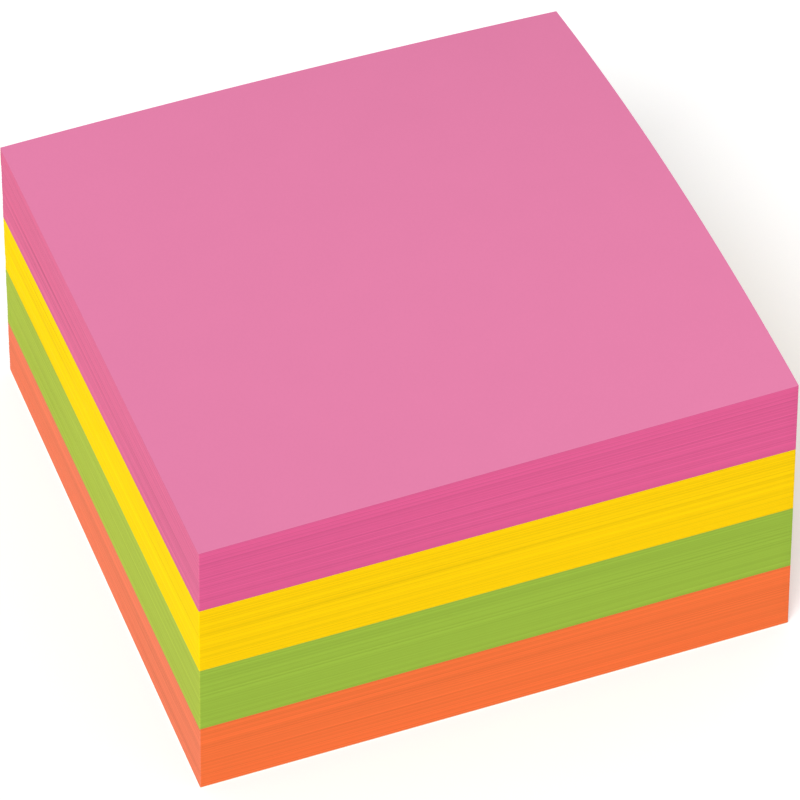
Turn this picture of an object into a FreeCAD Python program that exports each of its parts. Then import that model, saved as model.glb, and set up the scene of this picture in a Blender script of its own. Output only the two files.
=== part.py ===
# Sticky note cube: four coloured blocks of notes stacked on a release liner.
# Millimetres, +Z up. X runs along the glued edge, -Y is the glued edge and +Y the free edge.
# The origin is at the middle of the foot, on the surface that the pad stands on.

import FreeCAD, Part
import os
import Sketcher

# Driving sizes: alias, value in millimetres or degrees, meaning.
SIZES = [
    ("foot_width", 76.8, "along the glued edge, at the foot"),
    ("foot_depth", 76.8, "glued edge to free edge, at the foot"),
    ("side_lean", 1.5, "degrees that the knife cut leans inwards on the left and right sides"),
    ("liner_thickness", 0.15, "release liner under the last note"),
    ("orange_glued_thickness", 10.35, "orange block at its glued edge"),
    ("orange_free_thickness", 8.55, "orange block at its free edge"),
    ("green_glued_thickness", 10.1, "green block at its glued edge"),
    ("green_free_thickness", 9.4, "green block at its free edge"),
    ("green_side_swell", 0.2, "extra thickness midway along the right side"),
    ("green_back_swell", 0.05, "extra thickness midway along the free edge"),
    ("yellow_glued_thickness", 10.15, "yellow block at its glued edge"),
    ("yellow_free_thickness", 8.65, "yellow block at its free edge"),
    ("yellow_side_swell", 0.7, "extra thickness midway along the right side"),
    ("yellow_back_swell", 0.2, "extra thickness midway along the free edge"),
    ("pink_glued_thickness", 9.45, "pink block at its glued edge"),
    ("pink_free_thickness", 11.5, "pink block at its free edge"),
    ("pink_side_swell", 1.75, "extra thickness midway along the right side"),
    ("pink_back_swell", 0.4, "extra thickness midway along the free edge"),
    ("pink_corner_lift", 1.2, "extra thickness at the right end of the glued edge"),
    ("trim_overhang", 1.0, "how far the trimming sections are drawn past the foot"),
]

# Blocks of notes from the liner up. Level 0 is the liner's top, level 1 the first block's top.
COLOURS = ["orange", "green", "yellow", "pink"]
TOP_LEVEL = len(COLOURS)

# Trimming sections across the stack: name, share of the way from left to right, which is also the
# share of the right side's swell that it takes, and the share of the free edge's swell.
SECTIONS = [("left", 0, 0), ("middle", 0.5, 1), ("right", 1, 0)]

# Half the size at which a sketch is first drawn, before its constraints pull it to size.
ROUGH = 10


def make_sheet(doc):
    """The sheet of driving sizes, one alias a row."""
    sheet = doc.addObject("Spreadsheet::Sheet", "sizes")
    for row, (alias, value, meaning) in enumerate(SIZES, start=1):
        sheet.set(f"A{row}", alias)
        sheet.set(f"B{row}", str(value))
        sheet.set(f"C{row}", meaning)
        sheet.setAlias(f"B{row}", alias)
    doc.recompute()


def summed(kind, level):
    """Sheet cells of one kind for the blocks below a level, as one expression."""
    aliases = [alias for alias, value, meaning in SIZES]
    cells = []
    for colour in COLOURS[:level]:
        if f"{colour}_{kind}" in aliases:
            cells.append(f"sizes.{colour}_{kind}")
    return "(" + " + ".join(cells) + ")" if cells else "0"


def height(edge, level):
    """Expression for a level's height at the glued or the free edge."""
    return f"sizes.liner_thickness + {summed(edge + '_thickness', level)}"


def origin_plane(body, role):
    for feature in body.Origin.OriginFeatures:
        if feature.Role == role:
            return feature
    raise RuntimeError(f"{body.Label} has no {role}")


def attached_sketch(body, name, role, offset):
    """A sketch on one of the body's own planes, moved along the plane's normal by offset."""
    sketch = body.newObject("Sketcher::SketchObject", name)
    sketch.AttachmentSupport = [(origin_plane(body, role), "")]
    sketch.MapMode = "FlatFace"
    sketch.setExpression("AttachmentOffset.Base.z", offset)
    return sketch


def bind(sketch, point, across, up):
    """Hold a point, given as geometry and end, at two expressions from the sketch's origin."""
    place = sketch.getPoint(*point)
    for kind, start, expression in (("DistanceX", place.x, across), ("DistanceY", place.y, up)):
        index = sketch.addConstraint(Sketcher.Constraint(kind, -1, 1, *point, start))
        sketch.setExpression(f"Constraints[{index}]", expression)


def join_ends(sketch, count):
    """Close the first count edges of a sketch into one loop."""
    for index in range(count):
        following = (index + 1) % count
        sketch.addConstraint(Sketcher.Constraint("Coincident", index, 2, following, 1))


def foot_outline(body, offset):
    """The rectangle that the stack is cut to, centred on the origin."""
    sketch = attached_sketch(body, body.Label + "_outline", "XY_Plane", offset)
    signs = ((-1, -1), (1, -1), (1, 1), (-1, 1))
    corners = [FreeCAD.Vector(x * ROUGH, y * ROUGH, 0) for x, y in signs]
    for index in range(4):
        sketch.addGeometry(Part.LineSegment(corners[index], corners[(index + 1) % 4]))
    join_ends(sketch, 4)
    for index, direction in enumerate(("Horizontal", "Vertical", "Horizontal", "Vertical")):
        sketch.addConstraint(Sketcher.Constraint(direction, index))
    bind(sketch, (0, 1), "-sizes.foot_width / 2", "-sizes.foot_depth / 2")
    bind(sketch, (2, 1), "sizes.foot_width / 2", "sizes.foot_depth / 2")
    return sketch


def lean_sides(body, column):
    """Lean the column's left and right walls inwards about the foot."""
    walls = []
    for index, face in enumerate(column.Shape.Faces, start=1):
        outward = face.normalAt(0, 0)
        if abs(outward.x) > max(abs(outward.y), abs(outward.z)):
            walls.append(f"Face{index}")
    lean = body.newObject("PartDesign::Draft", body.Label + "_lean")
    lean.Base = (column, walls)
    lean.NeutralPlane = (origin_plane(body, "XY_Plane"), [""])
    lean.setExpression("Angle", "sizes.side_lean")


def trim_section(body, name, level, place, back_share, far):
    """A closed section across the stack: one side follows a level from the free edge to the
    glued edge, as an arc where the blocks below swell, and the other three run out to far."""
    sketch = attached_sketch(
        body, name, "YZ_Plane", f"{2 * place - 1} * (sizes.foot_width / 2 + sizes.trim_overhang)"
    )
    glued_height = f"{height('glued', level)} + {place} * {summed('corner_lift', level)}"
    free_height = f"{height('free', level)} + {back_share} * {summed('back_swell', level)}"
    side_rise = f"{place} * {summed('side_swell', level)}"
    reach = "(sizes.foot_depth / 2 + sizes.trim_overhang)"
    free = FreeCAD.Vector(ROUGH, 0, 0)
    glued = FreeCAD.Vector(-ROUGH, 0, 0)
    free_far = FreeCAD.Vector(ROUGH, ROUGH, 0)
    glued_far = FreeCAD.Vector(-ROUGH, ROUGH, 0)
    crown = FreeCAD.Vector(0, ROUGH / 10, 0)
    arched = place > 0 and summed("side_swell", level) != "0"
    sketch.addGeometry(Part.Arc(free, crown, glued) if arched else Part.LineSegment(free, glued))
    sketch.addGeometry(Part.LineSegment(glued, glued_far))
    sketch.addGeometry(Part.LineSegment(glued_far, free_far))
    sketch.addGeometry(Part.LineSegment(free_far, free))
    join_ends(sketch, 4)
    bind(sketch, (1, 1), f"-{reach}", glued_height)
    bind(sketch, (3, 2), reach, free_height)
    bind(sketch, (2, 1), f"-{reach}", far)
    bind(sketch, (2, 2), reach, far)
    if arched:
        sketch.addGeometry(Part.Point(crown), True)
        sketch.addConstraint(Sketcher.Constraint("PointOnObject", 4, 1, 0))
        bind(sketch, (4, 1), "0", f"({glued_height} + {free_height}) / 2 + {side_rise}")
    return sketch


def trim_to_level(body, level, side, far):
    """Cut away what lies on one side of a level."""
    sections = []
    for section_name, place, back_share in SECTIONS:
        name = f"{body.Label}_{side}_{section_name}"
        sections.append(trim_section(body, name, level, place, back_share, far))
    trim = body.newObject("PartDesign::SubtractiveLoft", f"{body.Label}_{side}_trim")
    trim.Profile = sections[0]
    trim.Sections = sections[1:]


def make_block(doc, colour):
    """One colour's block of notes: a leaning column of twice the stack's height, trimmed to the
    levels above and below."""
    level = COLOURS.index(colour)
    stack_height = height("glued", TOP_LEVEL)
    body = doc.addObject("PartDesign::Body", f"{colour}_notes")
    body.Label = f"{colour}_notes"
    body.Placement = FreeCAD.Placement()
    column = body.newObject("PartDesign::Pad", body.Label + "_column")
    column.Profile = foot_outline(body, "sizes.liner_thickness")
    column.setExpression("Length", f"2 * ({stack_height})")
    doc.recompute()
    lean_sides(body, column)
    trim_to_level(body, level + 1, "above", f"3 * ({stack_height})")
    if level > 0:
        trim_to_level(body, level, "below", "-sizes.trim_overhang")
    return body


def make_liner(doc):
    """The release liner that covers the last note's adhesive."""
    body = doc.addObject("PartDesign::Body", "backing_sheet")
    body.Label = "backing_sheet"
    body.Placement = FreeCAD.Placement()
    sheet = body.newObject("PartDesign::Pad", "backing_sheet_stock")
    sheet.Profile = foot_outline(body, "0")
    sheet.setExpression("Length", "sizes.liner_thickness")
    return body


def check(doc, bodies):
    """Stop if any feature failed or any piece isn't one sound solid."""
    for item in doc.Objects:
        if "Invalid" in item.State or "Error" in item.State:
            raise RuntimeError(f"{item.Name} failed: {item.State}")
    for body in bodies:
        shape = body.Shape
        if shape.isNull() or not shape.isValid() or len(shape.Solids) != 1:
            raise RuntimeError(f"{body.Label} is not one valid solid")
        box = shape.BoundBox
        print(f"{body.Label}: {shape.Volume:.1f} mm3, z {box.ZMin:.2f} to {box.ZMax:.2f}")


doc = FreeCAD.newDocument("sticky_note_cube")
make_sheet(doc)
bodies = [make_liner(doc)]
for colour in COLOURS:
    bodies.append(make_block(doc, colour))
doc.recompute()
check(doc, bodies)

os.makedirs("parts", exist_ok=True)
for body in bodies:
    body.Shape.exportStep(f"parts/{body.Label}.step")
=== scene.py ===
import math

import bpy
import numpy as np
from mathutils import Matrix, Vector
from mathutils.bvhtree import BVHTree


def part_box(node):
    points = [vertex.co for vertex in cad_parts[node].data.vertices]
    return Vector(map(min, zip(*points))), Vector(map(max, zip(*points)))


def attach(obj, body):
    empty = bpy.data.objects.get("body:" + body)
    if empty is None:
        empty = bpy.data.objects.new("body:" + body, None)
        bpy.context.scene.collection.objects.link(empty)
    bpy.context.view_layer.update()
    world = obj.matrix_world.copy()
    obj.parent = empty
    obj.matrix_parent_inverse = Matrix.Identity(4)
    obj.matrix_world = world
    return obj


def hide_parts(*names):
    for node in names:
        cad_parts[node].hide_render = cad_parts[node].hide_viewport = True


# Sticky note cube: four colours of notes on a release liner. Metres, in the frame's own axes:
# the glued edge faces -Y, the free edge +Y, and the pad stands on Z = 0.

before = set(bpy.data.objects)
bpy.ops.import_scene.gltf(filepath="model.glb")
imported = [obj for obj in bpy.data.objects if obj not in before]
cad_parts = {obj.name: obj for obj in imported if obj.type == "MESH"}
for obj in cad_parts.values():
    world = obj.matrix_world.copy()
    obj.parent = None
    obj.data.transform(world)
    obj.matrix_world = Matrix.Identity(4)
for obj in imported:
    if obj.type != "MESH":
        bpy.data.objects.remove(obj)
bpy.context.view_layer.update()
mm = 0.001
rng = np.random.default_rng(76)
print("frame loaded")


def linear(hexColour):
    # sRGB hex to linear: c / 12.92 up to 0.04045, else ((c + 0.055) / 1.055) ^ 2.4
    digits = hexColour.lstrip("#")
    srgb = [int(digits[i:i + 2], 16) / 255 for i in (0, 2, 4)]
    return tuple(c / 12.92 if c <= 0.04045 else ((c + 0.055) / 1.055) ** 2.4 for c in srgb) + (1.0,)


def addNode(tree, kind, settings, links):
    # one node: settings are sockets or properties by name, links are {socket: (node, output)}
    node = tree.nodes.new(kind)
    for key, value in settings.items():
        if isinstance(key, str) and hasattr(node, key):
            setattr(node, key, value)
        else:
            node.inputs[key].default_value = value
    for key, (source, output) in links.items():
        tree.links.new(source.outputs[output], node.inputs[key])
    return node


def newMaterial(name):
    material = bpy.data.materials.new(name)
    material.use_nodes = True
    material.node_tree.nodes.clear()
    return material, material.node_tree


# Camera: the picture's viewing angle, from a fit of the pad's edges

camera = {
    "azimuth": -20.44,              # degrees, from -Y towards -X when negative
    "elevation": 44.55,             # degrees
    "roll": -0.09,                  # degrees
    "distance": 605.0,              # mm
    "target": (0.75, -2.09, 18.27), # mm
    "lens": 219.4,                  # mm
    "sensor": 36.0,                 # mm
}


def placeCamera():
    azimuth, elevation, roll = (math.radians(camera[k]) for k in ("azimuth", "elevation", "roll"))
    back = Vector((math.sin(azimuth) * math.cos(elevation), -math.cos(azimuth) * math.cos(elevation),
                   math.sin(elevation)))
    level = Vector((0, 0, 1)).cross(back).normalized()
    upright = back.cross(level)
    right = math.cos(roll) * level + math.sin(roll) * upright
    up = -math.sin(roll) * level + math.cos(roll) * upright
    place = (Vector(camera["target"]) + back * camera["distance"]) * mm
    data = bpy.data.cameras.new("camera")
    data.lens = camera["lens"]
    data.sensor_width = camera["sensor"]
    eye = bpy.data.objects.new("camera", data)
    bpy.context.scene.collection.objects.link(eye)
    eye.matrix_world = Matrix.Translation(place) @ Matrix((right, up, back)).transposed().to_4x4()
    bpy.context.scene.camera = eye


placeCamera()
print("camera placed")


# Walls, and the levels between the blocks, read from the frame

walls = {
    "cornerRadius": 0.1,    # mm, a cut corner after some handling
    "pointsPerSide": 44,
    "pointsPerCorner": 3,
    "probeInset": 0.5,      # mm inside the cut at which a level is read
    "settleRounds": 3,      # rounds in which a wall point's x and z settle
}
stack = ["orange_notes", "green_notes", "yellow_notes", "pink_notes"]
linerNode = "backing_sheet"
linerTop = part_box(linerNode)[1]
footHalf = linerTop.x


def solidOf(node):
    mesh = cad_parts[node].data
    return BVHTree.FromPolygons([v.co for v in mesh.vertices], [p.vertices for p in mesh.polygons])


def rightWall(node):
    # a point of a block's right wall, at half the block's height, found by a ray from the right
    bottom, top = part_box(node)
    start = Vector((1.0, 0.0, (bottom.z + top.z) / 2))
    return solidOf(node).ray_cast(start, Vector((-1, 0, 0)))[0]


# both side cuts lean inwards as they rise: by (x low - x high) / (z high - z low)
low, high = rightWall(stack[0]), rightWall(stack[-1])
sideSlope = (low.x - high.x) / (high.z - low.z)
print("side cuts lean", round(math.degrees(math.atan(sideSlope)), 2), "degrees")


def flatLevel(height):
    places = np.array([-footHalf, 0.0, footHalf])
    return places, places, np.full((3, 3), height)


def readLevel(node):
    # a solid's top, as 3 x 3 heights at the walls and the middle, found by rays from above
    solid = solidOf(node)
    inset = walls["probeInset"] * mm
    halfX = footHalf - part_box(node)[1].z * sideSlope - inset
    halfY = footHalf - inset
    placesX, placesY = (np.array([-half, 0.0, half]) for half in (halfX, halfY))
    down = Vector((0, 0, -1))
    heights = [[solid.ray_cast(Vector((x, y, 1.0)), down)[0].z for y in placesY] for x in placesX]
    return placesX, placesY, np.array(heights)


def levelHeight(level, x, y):
    # z(x, y) = sum of heights[i, j] * Li(x) * Lj(y), where L is the parabola that is 1 at its own
    # place and 0 at the other two
    placesX, placesY, heights = level
    alongX, alongY = [
        [(v - b) * (v - c) / ((a - b) * (a - c)),
         (v - a) * (v - c) / ((b - a) * (b - c)),
         (v - a) * (v - b) / ((c - a) * (c - b))]
        for v, (a, b, c) in ((x, placesX), (y, placesY))
    ]
    return sum(heights[i, j] * alongX[i] * alongY[j] for i in range(3) for j in range(3))


levels = [flatLevel(linerTop.z)] + [readLevel(node) for node in stack]
print("levels read from the frame")


# Blocks of notes, and the liner as a block of one leaf

notes = {
    "count": 100,             # notes in a block
    "grooveDepth": 0.03,      # mm, how far the paper's edge falls back between two notes
    "grooveShare": 0.2,       # share of a note's thickness that each side of a groove takes
    "driftGlued": 0.004,      # mm, sideways drift of a note where the adhesive holds it
    "driftFree": 0.010,       # mm, the same at the free edge
    "clumpDrift": 0.012,      # mm, drift of a clump of notes at the free edge
    "clumpNotes": 12,         # notes in a clump, about
    "endDrift": 0.5,          # drift towards the free edge, as a share of the sideways one
    "thicknessSpread": 0.18,  # share by which a note's thickness varies
    "hiddenRings": 12,        # rings of faces on a cap that no one sees
    "topRings": 40,           # the same on the pad's top
    "sharpAngle": 30.0,       # degrees, edges past this are left sharp
}
liner = {
    "fallBack": 0.03,         # mm, how far the liner's edge lies inside the last note's
    "colour": "#ede6d1",
    "roughness": 0.38,        # calendered and coated with silicone, so smoother than the notes
    "specular": 0.5,
    "cloud": 3.0,             # mm, cloudy patches when lit
    "cloudTone": 0.03,        # share by which they vary the tone
    "relief": 0.1,            # strength of their relief
}

# A second map of the faces, 1 by 1, in which each cut side stays whole.
# A rectangle is its left and low edges, its width and height, and whether what it holds is turned a
# quarter to the left. The sides start at the glued edge and go round to the right.
bakeMap = {
    "name": "OFBake",
    "smallCaps": {
        "under": (0.005, 0.795, 0.2, 0.2, False),
        "over": (0.215, 0.795, 0.2, 0.2, False),
        "sides": [(0.005, 0.005, 0.99, 0.19, False), (0.005, 0.203, 0.99, 0.19, False),
                  (0.005, 0.401, 0.99, 0.19, False), (0.005, 0.599, 0.99, 0.19, False)],
    },
    "largeTop": {
        "under": (0.685, 0.845, 0.15, 0.15, False),
        "over": (0.005, 0.325, 0.67, 0.67, False),
        "sides": [(0.005, 0.005, 0.99, 0.15, False), (0.685, 0.325, 0.15, 0.51, True),
                  (0.845, 0.325, 0.15, 0.51, True), (0.005, 0.165, 0.99, 0.15, False)],
    },
    "largeCaps": {
        "under": (0.005, 0.505, 0.49, 0.49, False),
        "over": (0.505, 0.505, 0.49, 0.49, False),
        "sides": [(0.005, 0.005, 0.99, 0.11, False), (0.005, 0.13, 0.99, 0.11, False),
                  (0.005, 0.255, 0.99, 0.11, False), (0.005, 0.38, 0.99, 0.11, False)],
    },
}


def squarePath(half, radius):
    # a square with round corners: each side runs straight to its corner, then
    # (half - r + r sin t, -half + r - r cos t), turned by quarters; with its arc length
    side = np.linspace(radius - half, half - radius, walls["pointsPerSide"])
    t = np.linspace(0, math.pi / 2, walls["pointsPerCorner"] + 2)[1:-1]
    x = np.concatenate([side, half - radius + radius * np.sin(t)])
    y = np.concatenate([np.full_like(side, -half), radius - half - radius * np.cos(t)])
    quarters = [np.stack([x * c - y * s, x * s + y * c], axis=1)
                for c, s in ((1, 0), (0, 1), (-1, 0), (0, -1))]
    path = np.concatenate(quarters)
    steps = np.linalg.norm(np.roll(path, -1, axis=0) - path, axis=1)
    return path, np.concatenate([[0.0], np.cumsum(steps)])


def slowDrift(count, period):
    # white noise under a bell-shaped window, so that neighbours move together
    window = np.hanning(2 * period + 1)
    noise = rng.normal(size=count + 2 * period)
    return np.convolve(noise, window / np.linalg.norm(window), mode="valid")[:count]


def edgeFallBack(unit, count):
    # how far each note's edge lies inside the cut: margin - drift, where a note drifts along X by
    # an amount that grows from its glued edge to its free edge, and along Y at its free edge
    glued, free, clump = (notes[k] * mm for k in ("driftGlued", "driftFree", "clumpDrift"))
    freeShare = (unit[:, 1] + 1) / 2
    together = slowDrift(count, notes["clumpNotes"])
    driftX = rng.normal(size=count)[:, None] * (glued + free * freeShare)
    driftX = driftX + (together * clump)[:, None] * freeShare
    driftY = rng.normal(size=count) * free + slowDrift(count, notes["clumpNotes"]) * clump
    driftY = (driftY * notes["endDrift"])[:, None] * freeShare
    towardX = np.where(np.abs(unit[:, 0]) > np.abs(unit[:, 1]), np.sign(unit[:, 0]), 0)
    towardY = np.where(towardX == 0, np.sign(unit[:, 1]), 0)
    margin = glued + (free + clump / 2) * freeShare
    return np.maximum(margin - driftX * towardX - driftY * towardY, 0)


def noteRows(unit, firstNote, count, fallBack):
    # three rows a note: the groove below it, its lower shoulder and its upper shoulder. For each
    # row: its share of the way up the block, how far its points lie inside the cut, and its place
    # in the pad counted in notes.
    thickness = 1 + notes["thicknessSpread"] * rng.uniform(-1, 1, count)
    starts = np.concatenate([[0.0], np.cumsum(thickness)]) / thickness.sum()
    edges = edgeFallBack(unit, count) + fallBack
    parts = np.array([0.0, notes["grooveShare"], 1 - notes["grooveShare"]])
    grooves = np.array([notes["grooveDepth"] * mm, 0.0, 0.0])
    share = (starts[:-1, None] + parts * np.diff(starts)[:, None]).reshape(-1)
    inset = (edges[:, None, :] + grooves[None, :, None]).reshape(-1, len(unit))
    leaf = firstNote + (np.arange(count)[:, None] + parts).reshape(-1)
    return np.append(share, 1.0), np.vstack([inset, edges[-1:]]), np.append(leaf, firstNote + count)


def cutWall(unit, lower, upper, share, inset):
    # at share v between the levels: x = unitX (footHalf - z slope - inset),
    # y = unitY (footHalf - inset), z = (1 - v) lower(x, y) + v upper(x, y). As x needs z and z
    # needs x, they are worked out in turn.
    v = share[:, None]
    x = unit[:, 0] * (footHalf - inset)
    y = unit[:, 1] * (footHalf - inset)
    for settle in range(walls["settleRounds"]):
        z = levelHeight(lower, x, y) * (1 - v) + levelHeight(upper, x, y) * v
        x = unit[:, 0] * (footHalf - z * sideSlope - inset)
    return np.stack([x, y, z], axis=-1)


def capRings(rim, level, rings):
    # the rim drawn in to its middle: (s x, s y, level(s x, s y)), s from 0 to 1
    s = np.linspace(0, 1, rings + 2)[1:-1, None]
    x, y = rim[:, 0] * s, rim[:, 1] * s
    return np.stack([x, y, levelHeight(level, x, y)], axis=-1)


def closedMesh(name, grid, poles):
    # a face between each two rows and each two points of a row, the last point joined to the
    # first, and a fan of triangles from the first and the last row to a pole each
    rows, columns = grid.shape[:2]
    vertices = np.concatenate([grid.reshape(-1, 3), np.array(poles)])
    index = np.arange(rows * columns).reshape(rows, columns)
    after = np.roll(index, -1, axis=1)
    quads = np.stack([index[:-1], after[:-1], after[1:], index[1:]], axis=-1).reshape(-1, 4)
    under = np.stack([after[0], index[0], np.full(columns, rows * columns)], axis=-1)
    over = np.stack([index[-1], after[-1], np.full(columns, rows * columns + 1)], axis=-1)
    mesh = bpy.data.meshes.new(name)
    faces = quads.tolist() + under.tolist() + over.tolist()
    mesh.from_pydata(vertices.tolist(), [], faces, shade_flat=False)
    mesh.set_sharp_from_angle(angle=math.radians(notes["sharpAngle"]))
    print(name, len(quads) * 2 + columns * 2, "triangles")
    return mesh


def faceCorners(places):
    # the four corners of each face of a grid of places, in closedMesh's order
    return np.stack([places[:-1, :-1], places[:-1, 1:], places[1:, 1:], places[1:, :-1]], axis=2)


def addMap(mesh, name, corners):
    # corners: the places of the faces' corners, in arrays that follow the order of the faces
    layer = mesh.uv_layers.new(name=name)
    layer.data.foreach_set("uv", np.concatenate([c.reshape(-1) for c in corners]).astype(np.float32))


def mapPageEdges(mesh, arc, leaf, ringsBelow, ringsAbove):
    # material 1 on the cut edges, and a map of them: mm along the outline, and notes up the pad.
    # The caps' rings take the first and the last note's place, and the fans stay at 0.
    leafOfRow = np.concatenate([np.full(ringsBelow, leaf[0]), leaf, np.full(ringsAbove, leaf[-1])])
    columns = len(arc) - 1
    isWall = np.zeros(len(mesh.polygons), bool)
    isWall[ringsBelow * columns:(ringsBelow + len(leaf) - 1) * columns] = True
    mesh.polygons.foreach_set("material_index", isWall.astype(np.int32))
    places = np.stack(np.broadcast_arrays(arc / mm, leafOfRow[:, None]), axis=-1)
    addMap(mesh, "pageEdges", [faceCorners(places), np.zeros((2, columns, 3, 2))])


def laidOut(place, along, up):
    # places in a rectangle of the bake's map, by shares of the way along and up what it holds
    left, low, width, height, turned = place
    if turned:
        along, up = 1 - up, along
    return np.stack(np.broadcast_arrays(left + width * along, low + height * up), axis=-1)


def mapForBake(mesh, unit, arc, share, ringsBelow, ringsAbove, layout):
    # each face has a place of its own. A cap is a square as seen from outside: its ring s, from 0
    # at the pole to 1 at the rim, lies at ((1 + s unitX) / 2, (1 + s unitY) / 2), with x the other
    # way round from below. A cut side is a strip: its share of the side's length by its share of
    # the block's height.
    around = np.vstack([unit, unit[:1]])
    caps = []
    for place, rings, facing in ((layout["under"], ringsBelow, -1), (layout["over"], ringsAbove, 1)):
        s = np.linspace(0, 1, rings + 2)[:, None]
        caps.append(laidOut(place, (1 + facing * s * around[:, 0]) / 2, (1 + s * around[:, 1]) / 2))
    under, over = caps[0], caps[1][::-1]
    perSide = len(unit) // 4
    strips = []
    for side, place in enumerate(layout["sides"]):
        span = arc[side * perSide:(side + 1) * perSide + 1]
        along = (span - span[0]) / (span[-1] - span[0])
        strips.append(faceCorners(laidOut(place, along, share[:, None])))
    underFan = np.stack([under[1, 1:], under[1, :-1], under[0, :-1]], axis=1)
    overFan = np.stack([over[-2, :-1], over[-2, 1:], over[-1, :-1]], axis=1)
    addMap(mesh, bakeMap["name"], [faceCorners(under[1:]), np.concatenate(strips, axis=1),
                                   faceCorners(over[:-1]), underFan, overFan])


def buildBlock(name, lower, upper, firstNote, count, fallBack, topRings, layout):
    # one closed grid: a cap from its middle outwards, the cut edges note by note, and a cap back
    # to its middle
    path, arc = squarePath(footHalf, walls["cornerRadius"] * mm)
    unit = path / footHalf
    share, inset, leaf = noteRows(unit, firstNote, count, fallBack)
    wall = cutWall(unit, lower, upper, share, inset)
    bottom = capRings(wall[0], lower, notes["hiddenRings"])
    top = capRings(wall[-1], upper, topRings)[::-1]
    poles = [(0, 0, levelHeight(level, 0.0, 0.0)) for level in (lower, upper)]
    mesh = closedMesh(name, np.concatenate([bottom, wall, top]), poles)
    mapPageEdges(mesh, arc, leaf, len(bottom), len(top))
    mapForBake(mesh, unit, arc, share, len(bottom), len(top), layout)
    mesh.update()
    block = bpy.data.objects.new(name, mesh)
    bpy.context.scene.collection.objects.link(block)
    return block


# Papers: uncoated note paper dyed in the pulp, matte, with a fine felt-like fibre texture. Its cut
# edges are painted deeper in colour than its faces, as painted shade for sides lit less than the top
# and for light caught between the notes. The glued side is painted deeper still: partly painted
# shade, as for a side lit less than the others, and partly the adhesive pressing the notes together.

papers = {
    "pink_notes": {"face": "#e681ab", "edge": "#e3749b", "gluedEdgeShaded": "#de6094"},
    "yellow_notes": {"face": "#ffe14a", "edge": "#ffdd00", "gluedEdgeShaded": "#f6cf00"},
    "green_notes": {"face": "#bdd06a", "edge": "#b3c74c", "gluedEdgeShaded": "#9cbb43"},
    "orange_notes": {"face": "#f58f70", "edge": "#f28561", "gluedEdgeShaded": "#f0763e"},
}
paperLook = {
    "roughness": 0.85,
    "specular": 0.1,
    "fibre": 0.35,          # mm, a fibre clump; real fibres are 0.02 mm wide, too fine to show
    "cloud": 7.0,           # mm, the paper's cloudy formation when lit
    "fibreTone": 0.02,      # share by which fibres vary the tone
    "cloudTone": 0.015,     # the same for clouds
    "noteTone": 0.07,       # share by which the edge of one note differs from the next
    "lineNotes": 2.5,       # notes in a page line, wider than one note so that it shows
    "bandNotes": 16,        # notes in a broad band
    "gapNotes": 1.0,        # notes across a gap
    "lineLength": 110.0,    # mm along the edge over which a line or a band changes
    "gapLength": 45.0,      # mm along the edge that a gap between two notes shows
    "lineTone": 0.12,       # share by which lines vary the tone
    "bandTone": 0.06,       # the same for bands
    "gapShade": 0.22,        # how much darker the gap's painted shade makes the edge
    "gapWhole": 0.26,       # noise up to this is a gap at its darkest
    "gapNone": 0.36,        # and past this there is none
    "gluedShut": 0.7,       # share of a gap's painted shade that the adhesive takes away
    "bump": 0.02,           # mm, height of the relief
    "faceRelief": 0.35,     # strength of the fibres' relief on a face
    "edgeRelief": 0.5,      # strength of the lines' relief on a cut edge
}


def toneOf(tree, terms):
    # 1 + sum of tone * (noise - 0.5) * 2
    total = None
    for noise, tone in terms:
        part = addNode(tree, "ShaderNodeMath", {"operation": "MULTIPLY_ADD", 1: 2 * tone, 2: -tone},
                       {0: (noise, 0)})
        if total:
            part = addNode(tree, "ShaderNodeMath", {"operation": "ADD"}, {0: (total, 0), 1: (part, 0)})
        total = part
    return addNode(tree, "ShaderNodeMath", {"operation": "ADD", 1: 1.0}, {0: (total, 0)})


def finishPaper(tree, colour, tone, height, relief, roughness, specular):
    # shared end of the paper materials: toned colour, relief and the surface's own gloss
    toned = addNode(tree, "ShaderNodeHueSaturation", {}, {"Color": colour, "Value": (tone, 0)})
    bump = addNode(tree, "ShaderNodeBump", {"Strength": relief, "Distance": paperLook["bump"] * mm},
                   {"Height": height})
    surface = addNode(tree, "ShaderNodeBsdfPrincipled",
                      {"Roughness": roughness, "Specular IOR Level": specular, "IOR": 1.5},
                      {"Base Color": (toned, 0), "Normal": (bump, 0)})
    addNode(tree, "ShaderNodeOutputMaterial", {}, {"Surface": (surface, 0)})


def notePaper(name, colour):
    # a note's face: flat dyed colour, slightly cloudy, with fine fibres
    material, tree = newMaterial(name)
    place = addNode(tree, "ShaderNodeTexCoord", {}, {})
    fibres = addNode(tree, "ShaderNodeTexNoise",
                     {"Scale": 1 / (paperLook["fibre"] * mm), "Detail": 3.0, "Roughness": 0.6},
                     {"Vector": (place, "Object")})
    clouds = addNode(tree, "ShaderNodeTexNoise",
                     {"Scale": 1 / (paperLook["cloud"] * mm), "Detail": 2.0}, {"Vector": (place, "Object")})
    tone = toneOf(tree, [(fibres, paperLook["fibreTone"]), (clouds, paperLook["cloudTone"])])
    dye = addNode(tree, "ShaderNodeRGB", {}, {})
    dye.outputs[0].default_value = linear(colour)
    finishPaper(tree, (dye, 0), tone, (fibres, 0), paperLook["faceRelief"], paperLook["roughness"],
                paperLook["specular"])
    return material


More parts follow.
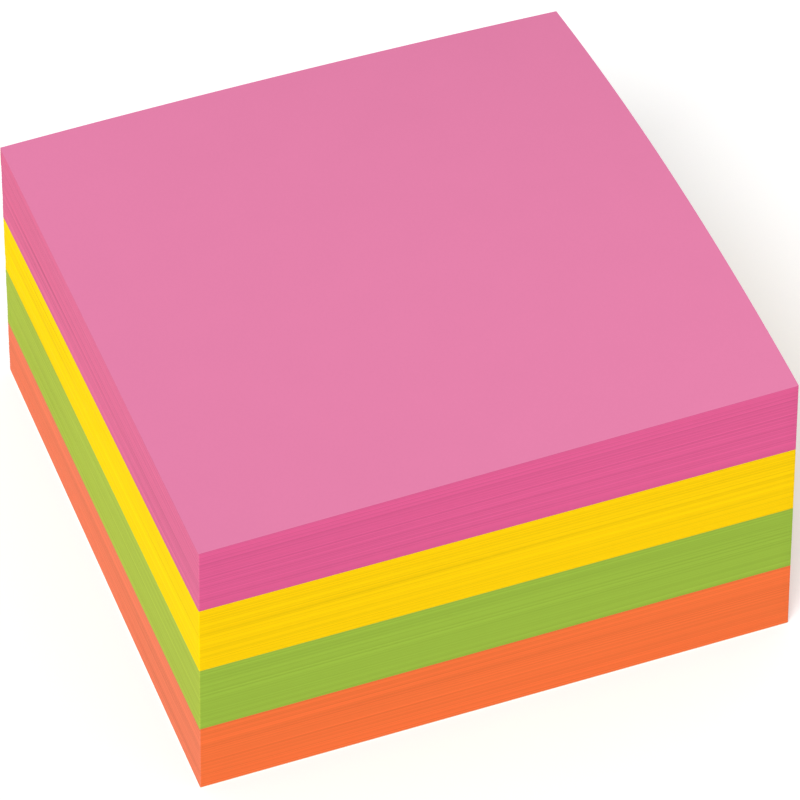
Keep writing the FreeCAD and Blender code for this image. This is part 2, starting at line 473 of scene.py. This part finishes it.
def pageEdges(name, colour, gluedShadedColour):
    # cut edges of the notes: each note has its own tone, lines and bands follow the notes, and
    # away from the glued edge a gap between two notes shows here and there as a darker line of
    # painted shade. The glued side takes its own deeper colour, which is partly painted shade.
    material, tree = newMaterial(name)
    place = addNode(tree, "ShaderNodeUVMap", {"uv_map": "pageEdges"}, {})
    split = addNode(tree, "ShaderNodeSeparateXYZ", {}, {0: (place, 0)})
    note = addNode(tree, "ShaderNodeMath", {"operation": "FLOOR"}, {0: (split, "Y")})
    single = addNode(tree, "ShaderNodeTexWhiteNoise", {"noise_dimensions": "1D"}, {"W": (note, 0)})

    def streaks(length, notesWide, detail):
        # noise drawn out along the notes, its length in mm and its width in notes
        drawnOut = addNode(tree, "ShaderNodeMapping", {"Scale": (1 / length, 1 / notesWide, 1.0)},
                           {"Vector": (place, 0)})
        return addNode(tree, "ShaderNodeTexNoise", {"Scale": 1.0, "Detail": detail, "Roughness": 0.6},
                       {"Vector": (drawnOut, 0)})

    lines = streaks(paperLook["lineLength"], paperLook["lineNotes"], 3.0)
    bands = streaks(paperLook["lineLength"], paperLook["bandNotes"], 1.0)
    gaps = streaks(paperLook["gapLength"], paperLook["gapNotes"], 0.0)
    tone = toneOf(tree, [(single, paperLook["noteTone"]), (lines, paperLook["lineTone"]),
                         (bands, paperLook["bandTone"])])

    # the map starts at the left end of the glued edge, so that edge is its first side
    sideLength = 2 * footHalf / mm
    isGlued = addNode(tree, "ShaderNodeMath", {"operation": "LESS_THAN", 1: sideLength}, {0: (split, "X")})
    looseness = addNode(tree, "ShaderNodeMath",
                        {"operation": "MULTIPLY_ADD", 1: -paperLook["gluedShut"], 2: 1.0},
                        {0: (isGlued, 0)})
    # painted shade in the gaps between notes, less of it where the adhesive holds them shut
    gap = addNode(tree, "ShaderNodeMapRange",
                  {"From Min": paperLook["gapWhole"], "From Max": paperLook["gapNone"],
                   "To Min": paperLook["gapShade"], "To Max": 0.0},
                  {"Value": (gaps, 0)})
    darker = addNode(tree, "ShaderNodeMath", {"operation": "MULTIPLY"}, {0: (gap, 0), 1: (looseness, 0)})
    tone = addNode(tree, "ShaderNodeMath", {"operation": "SUBTRACT"}, {0: (tone, 0), 1: (darker, 0)})
    # painted shade in part: the glued side's deeper colour stands for a side lit less than the others, and
    # in part for the adhesive pressing the notes together
    dye = addNode(tree, "ShaderNodeMix",
                  {"data_type": "RGBA", 6: linear(colour), 7: linear(gluedShadedColour)}, {0: (isGlued, 0)})
    finishPaper(tree, (dye, 2), tone, (lines, 0), paperLook["edgeRelief"], paperLook["roughness"],
                paperLook["specular"])
    return material


def glassine(name):
    # release liner: smooth calendered paper with a silicone face, slightly glossy
    material, tree = newMaterial(name)
    place = addNode(tree, "ShaderNodeTexCoord", {}, {})
    clouds = addNode(tree, "ShaderNodeTexNoise", {"Scale": 1 / (liner["cloud"] * mm), "Detail": 4.0},
                     {"Vector": (place, "Object")})
    tone = toneOf(tree, [(clouds, liner["cloudTone"])])
    dye = addNode(tree, "ShaderNodeRGB", {}, {})
    dye.outputs[0].default_value = linear(liner["colour"])
    finishPaper(tree, (dye, 0), tone, (clouds, 0), liner["relief"], liner["roughness"],
                liner["specular"])
    return material


for number, node in enumerate(stack):
    isTop = node == stack[-1]
    rings = notes["topRings" if isTop else "hiddenRings"]
    block = buildBlock(node + "_pages", levels[number], levels[number + 1], number * notes["count"],
                       notes["count"], 0.0, rings, bakeMap["largeTop" if isTop else "smallCaps"])
    look = papers[node]
    colourName = node.split("_")[0]
    block.data.materials.append(notePaper(colourName + "NotePaper", look["face"]))
    block.data.materials.append(pageEdges(colourName + "CutEdges", look["edge"], look["gluedEdgeShaded"]))
    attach(block, "root")
    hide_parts(node)

linerSheet = buildBlock("liner_sheet", flatLevel(0.0), levels[0], 0, 1, liner["fallBack"] * mm,
                        notes["hiddenRings"], bakeMap["largeCaps"])
glassinePaper = glassine("glassineLiner")
linerSheet.data.materials.append(glassinePaper)
linerSheet.data.materials.append(glassinePaper)
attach(linerSheet, "root")
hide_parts(linerNode)
print("blocks built")


# Floor, light and background

studio = {
    "floorSize": 6.0,         # m
    "floorColour": "#f2f2f2",
    "floorUnderPad": 0.1,     # mm that the floor reaches in under the pad
    "floorLift": 0.25,        # added where the camera looks, so that the open floor is white
    "skyStrength": 0.55,
    "sunStrength": 1.86,
    "sunFrom": (-0.44, -0.51, 0.74),
    "sunAngle": 28.0,         # degrees, a large soft lamp
}


def seenDirectly(tree):
    # 1 for rays from the camera, or by way of a mirror or glass
    rays = addNode(tree, "ShaderNodeLightPath", {}, {})
    either = addNode(tree, "ShaderNodeMath", {"operation": "MAXIMUM"},
                     {0: (rays, "Is Camera Ray"), 1: (rays, "Is Glossy Ray")})
    return addNode(tree, "ShaderNodeMath", {"operation": "MAXIMUM"},
                   {0: (either, 0), 1: (rays, "Is Transmission Ray")})


def floorMaterial():
    # matte pale paint, clear from below so that the liner can be looked at
    material, tree = newMaterial("paleFloor")
    paint = addNode(tree, "ShaderNodeBsdfDiffuse", {"Color": linear(studio["floorColour"])}, {})
    lift = addNode(tree, "ShaderNodeMath", {"operation": "MULTIPLY", 1: studio["floorLift"]},
                   {0: (seenDirectly(tree), 0)})
    glow = addNode(tree, "ShaderNodeEmission", {}, {"Strength": (lift, 0)})
    lifted = addNode(tree, "ShaderNodeAddShader", {}, {0: (paint, 0), 1: (glow, 0)})
    side = addNode(tree, "ShaderNodeNewGeometry", {}, {})
    clear = addNode(tree, "ShaderNodeBsdfTransparent", {}, {})
    oneSided = addNode(tree, "ShaderNodeMixShader", {},
                       {0: (side, "Backfacing"), 1: (lifted, 0), 2: (clear, 0)})
    addNode(tree, "ShaderNodeOutputMaterial", {}, {"Surface": (oneSided, 0)})
    return material


def makeFloor():
    # a level sheet at Z = 0 of 3 x 3 cells: x and y step through -reach, -opening, opening and
    # reach, and the middle cell, under the pad, is left open
    reach = studio["floorSize"] / 2
    opening = footHalf - studio["floorUnderPad"] * mm
    steps = np.array([-reach, -opening, opening, reach])
    x, y = np.meshgrid(steps, steps)
    vertices = np.stack([x, y, np.zeros_like(x)], axis=-1).reshape(-1, 3)
    index = np.arange(16).reshape(4, 4)
    cells = np.stack([index[:-1, :-1], index[:-1, 1:], index[1:, 1:], index[1:, :-1]], axis=-1)
    middleCell = 4
    cells = np.delete(cells.reshape(-1, 4), middleCell, axis=0)
    mesh = bpy.data.meshes.new("floor")
    mesh.from_pydata(vertices.tolist(), [], cells.tolist())
    mesh.materials.append(floorMaterial())
    floor = bpy.data.objects.new("floor", mesh)
    bpy.context.scene.collection.objects.link(floor)


def lightScene():
    # an even white sky, and one large lamp from the front left
    world = bpy.data.worlds.new("studio")
    world.use_nodes = True
    bpy.context.scene.world = world
    tree = world.node_tree
    tree.nodes.clear()
    strength = addNode(tree, "ShaderNodeMapRange", {"To Min": studio["skyStrength"], "To Max": 1.0},
                       {"Value": (seenDirectly(tree), 0)})
    sky = addNode(tree, "ShaderNodeBackground", {"Color": (1, 1, 1, 1)}, {"Strength": (strength, 0)})
    addNode(tree, "ShaderNodeOutputWorld", {}, {"Surface": (sky, 0)})
    lamp = bpy.data.lights.new("softbox", "SUN")
    lamp.energy = studio["sunStrength"]
    lamp.angle = math.radians(studio["sunAngle"])
    sun = bpy.data.objects.new("softbox", lamp)
    sun.rotation_euler = Vector(studio["sunFrom"]).to_track_quat("Z", "Y").to_euler()
    bpy.context.scene.collection.objects.link(sun)


makeFloor()
lightScene()
bpy.context.scene.view_settings.view_transform = "Standard"
print("floor and light set")
